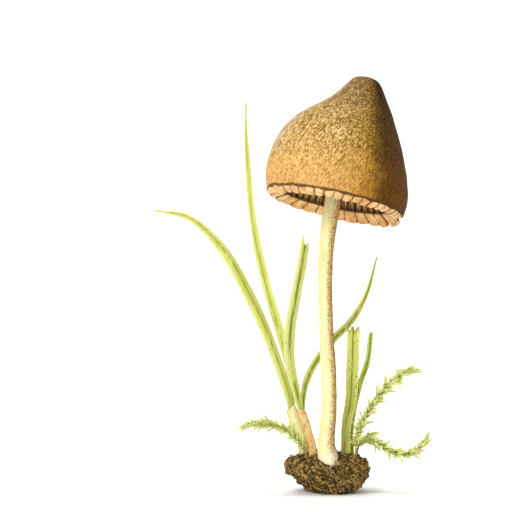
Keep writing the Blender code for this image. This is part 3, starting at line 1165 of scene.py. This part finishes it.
@dataclass
class Sheath:
    """A dry leaf sheath, wrapped round the foot of the blades that leave it."""

    node: str
    slot: str
    course: Sequence[Row]
    opening: float
    columns: int = 26
    steps: int = 34
    thickness: float = 0.00028
    mouth_slant: float = 0.0016
    wrap: float = 1.06

    def build(self, finish: bpy.types.Material) -> None:
        """Sweeps the wrapped strip and gives it its thickness."""
        made = Making()
        made.sweep(strip(self.columns), stations(self.course, self.steps), self.surface, closed=False)
        piece = put(f"leaf_{self.node}", made.close(self.node), (finish,), self.slot, (self.node,))
        thicken(piece, self.thickness, 1, offset=-1.0)

    def surface(self, part: float, station: Station) -> Vector:
        """A point of the sheath: nearly a full turn round its course, with a lapped edge and a slanted mouth.

        Args:
            part: -1 to 1 round the sheath.
            station: the place along it.

        Returns:
            The position.
        """
        out = outward(station, math.radians(self.opening) + part * math.pi * self.wrap)
        lap = 0.00022 * ease(part, -0.6, 1.0)
        rib = 0.00004 * math.cos(math.pi * 13 * part)
        crease = noise.noise(station.place * 300 + out * 3) * 0.00012
        near_end = ease(station.share, 0.75, 1.0)
        reach = near_end * self.mouth_slant * (0.5 + 0.5 * math.cos(math.pi * part)) - near_end * 0.0004
        return station.place + out * (station.size + lap + rib + crease) + station.along * reach


# --- the moss ---
@dataclass
class MossSprig:
    """A moss shoot: a wiry stalk set with pointed leaves that bend back at their tips."""

    node: str
    course: Sequence[Row]
    leaf: float
    bare: float
    seed: int
    spacing: float = 0.00017
    stalk: float = 0.00024
    leaf_width: float = 0.00140
    leaf_thickness: float = 0.00007
    short_leaf: Row = (0.46, 0.66)
    long_leaf: Row = (0.85, 1.12)
    lean_at_stalk: Row = (38, 56)
    lean_at_tip: Row = (48, 76)
    most_roll: float = 65

    def build(self, leaf_finish: bpy.types.Material, stalk_finish: bpy.types.Material) -> None:
        """Builds the stalk and its leaves as two pieces."""
        course = stations([(*row[:3], self.stalk) for row in self.course], 70)
        stalk = Making()
        stalk.sweep(ring(7), course, self.skin, closed=True)
        name = f"{self.node}_stalk"
        put(name, stalk.close(name), (stalk_finish,), "moss", (self.node,))
        leaves = Making()
        self.grow(leaves, course)
        name = f"{self.node}_leaves"
        piece = put(name, leaves.close(name), (leaf_finish,), "moss", (self.node,))
        thicken(piece, self.leaf_thickness)

    def skin(self, part: float, station: Station) -> Vector:
        """A point of the stalk's skin, at an angle in turns."""
        radius = self.stalk * (1.0 - 0.6 * station.share)
        return station.place + outward(station, math.tau * part) * radius

    def grow(self, leaves: Making, course: Sequence[Station]) -> None:
        """Sets leaves on the stalk in a spiral, long ones among short ones, and smaller towards both ends.

        Args:
            leaves: the mesh that they go into.
            course: the stalk's stations.
        """
        chance = random.Random(self.seed)
        lengths = [0.0]
        for low, high in zip(course, course[1:]):
            lengths.append(lengths[-1] + (high.place - low.place).length)
        table = [(length, number) for number, length in enumerate(lengths)]
        for number in range(int((lengths[-1] - self.bare) / self.spacing)):
            length = self.bare + (number + chance.uniform(-0.3, 0.3)) * self.spacing
            station = course[min(int(value_at(table, length)), len(course) - 1)]
            to_tip = (lengths[-1] - length) / self.leaf
            size = self.leaf * min(1.0, 0.60 + 0.35 * to_tip)
            size *= chance.uniform(*(self.short_leaf if number % 3 else self.long_leaf))
            size *= 0.65 + 0.35 * ease(length, self.bare, self.bare + 0.004)
            turn = number * GOLDEN_ANGLE + chance.uniform(-0.3, 0.3)
            leaf = self.blade(station, turn, size, ease(to_tip, 1.6, 0.0), chance)
            leaves.flap(2, 6, leaf, tint=chance.uniform(0.25, 1.0))

    def blade(
        self, station: Station, turn: float, size: float, upright: float, chance: random.Random
    ) -> Shape:
        """The shape of one leaf.

        Args:
            station: where it leaves the stalk.
            turn: which way it points, round the stalk.
            size: its length.
            upright: 1 for a leaf of the tip bud, which stays close to the stalk, and 0 for an open one.
            chance: the source of its own small differences.

        Returns:
            A position from -1 to 1 across, and 0 at the stalk to 1 at the tip.
        """
        out = outward(station, turn)
        first = math.radians(chance.uniform(*self.lean_at_stalk) * (1 - 0.7 * upright))
        last = math.radians(chance.uniform(*self.lean_at_tip) * (1 - 0.7 * upright))
        roll = math.radians(chance.uniform(-self.most_roll, self.most_roll))
        side = station.along.cross(out) * math.cos(roll)
        side += (out * math.cos(first) - station.along * math.sin(first)) * math.sin(roll)
        half = self.leaf_width / 2

        def place(across: float, along: float) -> Vector:
            """One point of the leaf."""
            lean = first + (last - first) * along * 0.5
            reach = size * along
            middle = station.place + (station.along * math.cos(lean) + out * math.sin(lean)) * reach
            width = half * (0.75 + 0.7 * along) * (1 - along**1.1)
            keel = (out * math.cos(lean) - station.along * math.sin(lean)) * (0.35 * width * abs(across))
            return middle + side * (across * max(width, 0.00001)) + keel

        return place


# --- the soil ---
@dataclass
class SoilClump:
    """The clump of soil: a lumpy flat-based block, crumbs, grit and thin dry roots."""

    middle: Vector = field(default_factory=lambda: Vector((0.0003, 0.0, 0.0048)))
    half_size: Vector = field(default_factory=lambda: Vector((0.0104, 0.0098, 0.0058)))
    squareness: float = 2.4
    taper: Row = (0.30, 0.25)
    lumps: Sequence[Row] = ((170.0, 0.0010), (420.0, 0.0005))
    shoulder_way: Vector = field(default_factory=lambda: Vector((-0.90, -0.25, 0.36)).normalized())
    shoulder_reach: float = 0.0024
    shoulder_spread: float = 0.12
    grit: Sequence[Row] = ((900.0, 0.00032), (2100.0, 0.00018))
    pit_waves: float = 560.0
    pit_depth: float = 0.0008
    crumbs: int = 420
    roots: int = 16

    def surface(self, direction: Vector) -> Vector:
        """The smooth surface of the clump in a direction from its middle, a little slimmer than packed."""
        powers = sum(abs(value) ** self.squareness for value in direction)
        shape = direction / powers ** (1 / self.squareness)
        place = Vector([a * b for a, b in zip(shape, self.half_size)])
        place.x *= 1 - self.taper[direction.x > 0] * max(0.0, -direction.z) ** 0.6
        for waves, height in self.lumps:
            place += direction * (noise.noise(place * waves) * height)
        jut = max(0.0, 1 - (1 - direction.dot(self.shoulder_way)) / self.shoulder_spread)
        return place + direction * (self.shoulder_reach * jut) + self.middle

    def build(self, soil: bpy.types.Material, root: bpy.types.Material) -> None:
        """Builds the block, the crumbs on it and the roots as three pieces."""
        self.block(soil)
        self.scatter(soil)
        self.rootlets(root)

    def block(self, soil: bpy.types.Material) -> None:
        """The block: a dense ball pushed out to the clump's shape and roughened, with its underside flat."""
        made = Making()
        bm = made.bm
        bmesh.ops.create_icosphere(bm, subdivisions=6, radius=1.0)
        for vert in bm.verts:
            direction = vert.co.normalized()
            place = self.surface(direction)
            rough = sum(noise.noise(place * waves) * height for waves, height in self.grit)
            pit = abs(noise.noise(place * self.pit_waves + Vector((3, 1, 2)))) * self.pit_depth
            place += direction * (rough - pit + 0.0001)
            place.z = max(place.z, 0.0)
            vert.co = place
        put("soil_block", made.close("soil_block"), (soil,), "soil", ("soil_clump",))

    def scatter(self, soil: bpy.types.Material) -> None:
        """Crumbs and grit, pressed into the block all over."""
        made = Making()
        bm = made.bm
        chance = random.Random(23)
        for _ in range(self.crumbs):
            direction = Vector((chance.gauss(0, 1), chance.gauss(0, 1), chance.gauss(0.15, 0.8))).normalized()
            size = 0.00022 + 0.00062 * chance.random() ** 2.2
            spot = self.surface(direction)
            spot.z = max(spot.z, size * 0.8)
            wide, deep, tall = chance.uniform(0.7, 1.3), chance.uniform(0.7, 1.3), chance.uniform(0.6, 1.0)
            squash = Matrix.Diagonal((wide, deep, tall, 1))
            turn = Matrix.Rotation(chance.uniform(0, math.tau), 4, direction)
            tint = chance.random() ** 3
            made_verts = bmesh.ops.create_icosphere(
                bm, subdivisions=2, radius=size, matrix=Matrix.Translation(spot) @ turn @ squash
            )["verts"]
            for vert in made_verts:
                offset = vert.co - spot
                vert.co += offset * (0.55 * noise.noise(vert.co * 1500))
                vert.co.z = max(vert.co.z, 0.0)
                vert[made.tint] = tint
        put("soil_crumbs", made.close("soil_crumbs"), (soil,), "soil", ("soil_clump",))

    def rootlets(self, finish: bpy.types.Material) -> None:
        """Thin dry roots that come out of the block and lie along it."""
        made = Making()
        chance = random.Random(41)
        for _ in range(self.roots):
            heading = chance.uniform(0, math.tau)
            rise = chance.uniform(-0.5, 0.75)
            rows = []
            for step in range(6):
                share = step / 5
                turn = heading + share * chance.uniform(0.25, 0.6)
                lift = rise - 0.8 * share
                direction = Vector((math.cos(turn), math.sin(turn), lift)).normalized()
                spot = self.surface(direction) + direction * (0.0009 * math.sin(math.pi * share) - 0.0001)
                rows.append((spot.x, spot.y, max(spot.z, 0.0003), 0.00014 * (1 - 0.6 * share)))
            made.sweep(
                ring(5),
                stations(rows, 18),
                lambda part, at: at.place + outward(at, math.tau * part) * at.size,
                closed=True,
            )
        put("rootlets", made.close("rootlets"), (finish,), "soil", ("soil_clump",))


# --- the studio ---
@dataclass(frozen=True)
class Lamp:
    """A soft square light: where it stands, what it faces, its side in metres and its power in watts."""

    name: str
    stands: Row
    faces: Row
    size: float
    power: float

    def build(self) -> None:
        """Puts the light into the scene."""
        data = bpy.data.lights.new(self.name, "AREA")
        data.size = self.size
        data.energy = self.power
        lamp = bpy.data.objects.new(self.name, data)
        lamp.location = self.stands
        lamp.rotation_euler = (Vector(self.faces) - Vector(self.stands)).to_track_quat("-Z", "Y").to_euler()
        bpy.context.scene.collection.objects.link(lamp)


@dataclass
class Studio:
    """A pale sweep of floor and backdrop, soft lights and the camera."""

    lamps: Sequence[Lamp] = (
        Lamp("key", (-0.42, -0.50, 0.52), (0, 0, 0.06), size=0.40, power=3.6),
        Lamp("fill", (0.50, -0.45, 0.22), (0, 0, 0.06), size=0.50, power=0.5),
        Lamp("low", (-0.08, -0.50, 0.03), (0, 0, 0.085), size=0.25, power=0.45),
        Lamp("wash", (0, 0.25, 1.1), (0, 1.8, 0.4), size=1.2, power=26.0),
    )
    surround: float = 0.42
    aim: Vector = field(default_factory=lambda: Vector((-0.0196, 0.0, 0.0623)))
    frame_width: float = 0.1357
    lens: float = 135.0
    sensor: float = 36.0

    def build(self) -> None:
        """Sets up everything that isn't part of the object."""
        self.sweep()
        for lamp in self.lamps:
            lamp.build()
        self.world()
        self.camera()

    def sweep(self) -> None:
        """The floor, which curves up into a backdrop."""
        bm = bmesh.new()
        start = [bm.verts.new((side, -1.5, 0.0)) for side in (-3.0, 3.0)]
        edges = [bm.edges.new(start)]
        path = [Vector((0, 1.2, 0))]
        path += [
            Vector((0, 1.2 + 0.8 * math.sin(turn), 0.8 - 0.8 * math.cos(turn)))
            for turn in (math.pi / 2 * step / 16 for step in range(1, 17))
        ]
        path.append(Vector((0, 2.0, 3.0)))
        for point in path:
            grown = bmesh.ops.extrude_edge_only(bm, edges=edges)["geom"]
            edges = [item for item in grown if isinstance(item, bmesh.types.BMEdge)]
            for vert in (item for item in grown if isinstance(item, bmesh.types.BMVert)):
                vert.co.y, vert.co.z = point.y, point.z
        bmesh.ops.recalc_face_normals(bm, faces=bm.faces)
        mesh = bpy.data.meshes.new("backdrop")
        bm.to_mesh(mesh)
        bm.free()
        mesh.shade_smooth()
        backdrop = bpy.data.objects.new("backdrop", mesh)
        bpy.context.scene.collection.objects.link(backdrop)
        recipe = Recipe("backdrop_paper", 0.9)
        tooth = recipe.clouds(recipe.place(), 40, detail=2.0)
        mesh.materials.append(recipe.colour(recipe.mix(tooth, tone(250, 250, 249), tone(253, 253, 252))))

    def world(self) -> None:
        """An even pale surround."""
        world = bpy.data.worlds.new("surround")
        world.use_nodes = True
        back = world.node_tree.nodes["Background"]
        back.inputs["Color"].default_value = (1.0, 1.0, 1.0, 1.0)
        back.inputs["Strength"].default_value = self.surround
        bpy.context.scene.world = world
        bpy.context.scene.view_settings.view_transform = "Standard"

    def camera(self) -> None:
        """The camera, level, straight in front."""
        data = bpy.data.cameras.new("camera")
        data.lens = self.lens
        data.sensor_width = self.sensor
        camera = bpy.data.objects.new("camera", data)
        distance = self.frame_width * self.lens / self.sensor
        camera.location = self.aim - Vector((0, distance, 0))
        camera.rotation_euler = (math.radians(90), 0, 0)
        bpy.context.scene.collection.objects.link(camera)
        bpy.context.scene.camera = camera


# --- the whole clump ---
BLADE_FINISHES = (
    BladeFinish(
        "grass_fresh",
        margin=tone(240, 242, 180),
        middle=tone(206, 212, 100),
        stripe=tone(140, 156, 28),
        stripe_width=0.30,
        stripe_strength=0.8,
    ),
    BladeFinish(
        "grass_striped",
        margin=tone(234, 238, 166),
        middle=tone(194, 202, 88),
        stripe=tone(112, 130, 20),
        stripe_width=0.42,
        stripe_strength=1.0,
    ),
    BladeFinish(
        "grass_ribbed",
        margin=tone(228, 232, 148),
        middle=tone(184, 192, 76),
        stripe=tone(112, 124, 22),
        stripe_width=0.20,
        stripe_strength=0.95,
        speckle=0.7,
        dry_end=0.7,
    ),
)

BLADES = (
    GrassBlade(
        "arching_blade",
        (
            (-0.0094, -0.0012, 0.0180, 0.0012),
            (-0.0105, -0.0012, 0.0219, 0.0014),
            (-0.0120, -0.0008, 0.0285, 0.0026),
            (-0.0171, -0.0014, 0.0425, 0.0031),
            (-0.0227, -0.0032, 0.0543, 0.0033),
            (-0.0286, -0.0050, 0.0642, 0.0029),
            (-0.0369, -0.0064, 0.0721, 0.0018),
            (-0.0465, -0.0069, 0.0742, 0.0005),
        ),
        "grass_fresh",
        twist=20.0,
        twist_end=28.0,
    ),
    GrassBlade(
        "tall_blade",
        (
            (-0.0090, -0.0005, 0.0180, 0.0010),
            (-0.0099, -0.0001, 0.0219, 0.0016),
            (-0.0102, 0.0010, 0.0299, 0.0022),
            (-0.0123, 0.0014, 0.0392, 0.0026),
            (-0.0170, 0.0017, 0.0554, 0.0027),
            (-0.0204, 0.0020, 0.0718, 0.0022),
            (-0.0220, 0.0024, 0.0909, 0.0013),
            (-0.0223, 0.0027, 0.1035, 0.0003),
        ),
        "grass_fresh",
        twist=-12.0,
        twist_end=-30.0,
    ),
    GrassBlade(
        "torn_blade",
        (
            (-0.0069, -0.0031, 0.0180, 0.0010),
            (-0.0077, -0.0031, 0.0212, 0.0014),
            (-0.0091, -0.0035, 0.0270, 0.0022),
            (-0.0107, -0.0037, 0.0350, 0.0028),
            (-0.0106, -0.0038, 0.0430, 0.0030),
            (-0.0093, -0.0040, 0.0511, 0.0029),
            (-0.0076, -0.0042, 0.0600, 0.0027),
            (-0.0066, -0.0043, 0.0660, 0.0024),
        ),
        "grass_striped",
        tip=Tip.FORKED,
        twist=14.0,
        twist_end=6.0,
    ),
    GrassBlade(
        "crossing_blade",
        (
            (-0.0068, -0.0027, 0.0180, 0.0010),
            (-0.0072, -0.0023, 0.0212, 0.0010),
            (-0.0066, -0.0002, 0.0280, 0.0019),
            (-0.0038, 0.0022, 0.0340, 0.0021),
            (0.0008, 0.0035, 0.0399, 0.0021),
            (0.0051, 0.0037, 0.0441, 0.0020),
            (0.0082, 0.0035, 0.0487, 0.0016),
            (0.0105, 0.0031, 0.0540, 0.0010),
            (0.0126, 0.0025, 0.0622, 0.0004),
        ),
        "grass_striped",
        twist=10.0,
        twist_end=10.0,
    ),
    GrassBlade(
        "ribbed_blade",
        (
            (0.0040, -0.0006, 0.0070, 0.0022),
            (0.0043, -0.0008, 0.0172, 0.0026),
            (0.0055, -0.0010, 0.0240, 0.0031),
            (0.0059, -0.0011, 0.0320, 0.0034),
            (0.0062, -0.0012, 0.0433, 0.0034),
        ),
        "grass_ribbed",
        tip=Tip.RAGGED,
        twist=-16.0,
        twist_end=-10.0,
        ribs=7,
    ),
    GrassBlade(
        "blunt_blade",
        (
            (0.0060, 0.0022, 0.0070, 0.0014),
            (0.0058, 0.0021, 0.0167, 0.0015),
            (0.0076, 0.0019, 0.0268, 0.0017),
            (0.0100, 0.0017, 0.0342, 0.0017),
            (0.0109, 0.0015, 0.0417, 0.0015),
        ),
        "grass_striped",
        tip=Tip.BLUNT,
        twist=22.0,
        twist_end=12.0,
    ),
)

SHEATH_FINISHES = (
    SheathFinish("sheath_pale", tone(252, 250, 208), tone(246, 236, 160), tone(206, 184, 92), 0.35),
    SheathFinish("sheath_tan", tone(242, 218, 156), tone(230, 184, 112), tone(172, 112, 52), 0.65),
)

SHEATHS = (
    Sheath(
        "pale_sheath",
        "sheath_pale",
        (
            (-0.0062, -0.0014, 0.0070, 0.0013),
            (-0.0069, -0.0014, 0.0125, 0.0013),
            (-0.0085, -0.0012, 0.0170, 0.0012),
            (-0.0103, -0.0009, 0.0218, 0.0011),
        ),
        opening=200.0,
    ),
    Sheath(
        "tan_sheath",
        "sheath_tan",
        (
            (-0.0043, -0.0038, 0.0070, 0.0011),
            (-0.0050, -0.0037, 0.0120, 0.0011),
            (-0.0062, -0.0033, 0.0165, 0.0011),
            (-0.0076, -0.0028, 0.0212, 0.0010),
        ),
        opening=20.0,
    ),
)

MOSS_STALK = StreakFinish("moss_stalk", 0.6, 1600, tone(140, 112, 50), tone(190, 176, 92))
ROOTLET = StreakFinish("rootlet", 0.8, 1200, tone(112, 84, 44), tone(196, 168, 110))

SPRIGS = (
    MossSprig(
        "moss_sprig_upper",
        (
            (0.0066, -0.0030, 0.0070),
            (0.0070, -0.0032, 0.0145),
            (0.0093, -0.0033, 0.0202),
            (0.0139, -0.0036, 0.0269),
            (0.0192, -0.0040, 0.0316),
            (0.0230, -0.0042, 0.0322),
        ),
        leaf=0.0038,
        bare=0.0060,
        seed=3,
    ),
    MossSprig(
        "moss_sprig_lower",
        (
            (0.0072, 0.0008, 0.0066),
            (0.0076, 0.0007, 0.0114),
            (0.0095, 0.0003, 0.0136),
            (0.0126, -0.0001, 0.0127),
            (0.0176, -0.0007, 0.0101),
            (0.0225, -0.0013, 0.0107),
            (0.0259, -0.0020, 0.0146),
        ),
        leaf=0.0037,
        bare=0.0055,
        seed=7,
    ),
    MossSprig(
        "moss_sprig_small",
        (
            (0.0066, 0.0050, 0.0062),
            (0.0079, 0.0050, 0.0117),
            (0.0102, 0.0049, 0.0140),
            (0.0126, 0.0048, 0.0150),
        ),
        leaf=0.0023,
        bare=0.0056,
        seed=13,
    ),
    MossSprig(
        "moss_sprig_left",
        (
            (-0.0054, -0.0046, 0.0066),
            (-0.0072, -0.0050, 0.0122),
            (-0.0104, -0.0053, 0.0159),
            (-0.0148, -0.0056, 0.0179),
            (-0.0198, -0.0059, 0.0184),
            (-0.0233, -0.0061, 0.0175),
        ),
        leaf=0.0037,
        bare=0.0052,
        seed=17,
    ),
)


def main() -> None:
    """Builds every sub-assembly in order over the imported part."""
    logging.basicConfig(level=logging.INFO, format="%(name)s: %(message)s")
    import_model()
    bell = Bell()
    flesh = FleshFinish().make()
    CapSkin(bell).build(CapSkinFinish().make(), flesh)
    Gills(bell).build(GillFinish().make())
    Margin(bell).build(flesh)
    Stem(bell).build(StemFinish().make())
    blade_finishes = {finish.name: finish.make() for finish in BLADE_FINISHES}
    for blade in BLADES:
        blade.build(blade_finishes[blade.finish])
    sheath_finishes = {finish.name: finish.make() for finish in SHEATH_FINISHES}
    for sheath in SHEATHS:
        sheath.build(sheath_finishes[sheath.slot])
    leaf, stalk = MossFinish().make(), MOSS_STALK.make()
    for sprig in SPRIGS:
        sprig.build(leaf, stalk)
    SoilClump().build(SoilFinish().make(), ROOTLET.make())
    Studio().build()


if __name__ == "__main__":
    main()
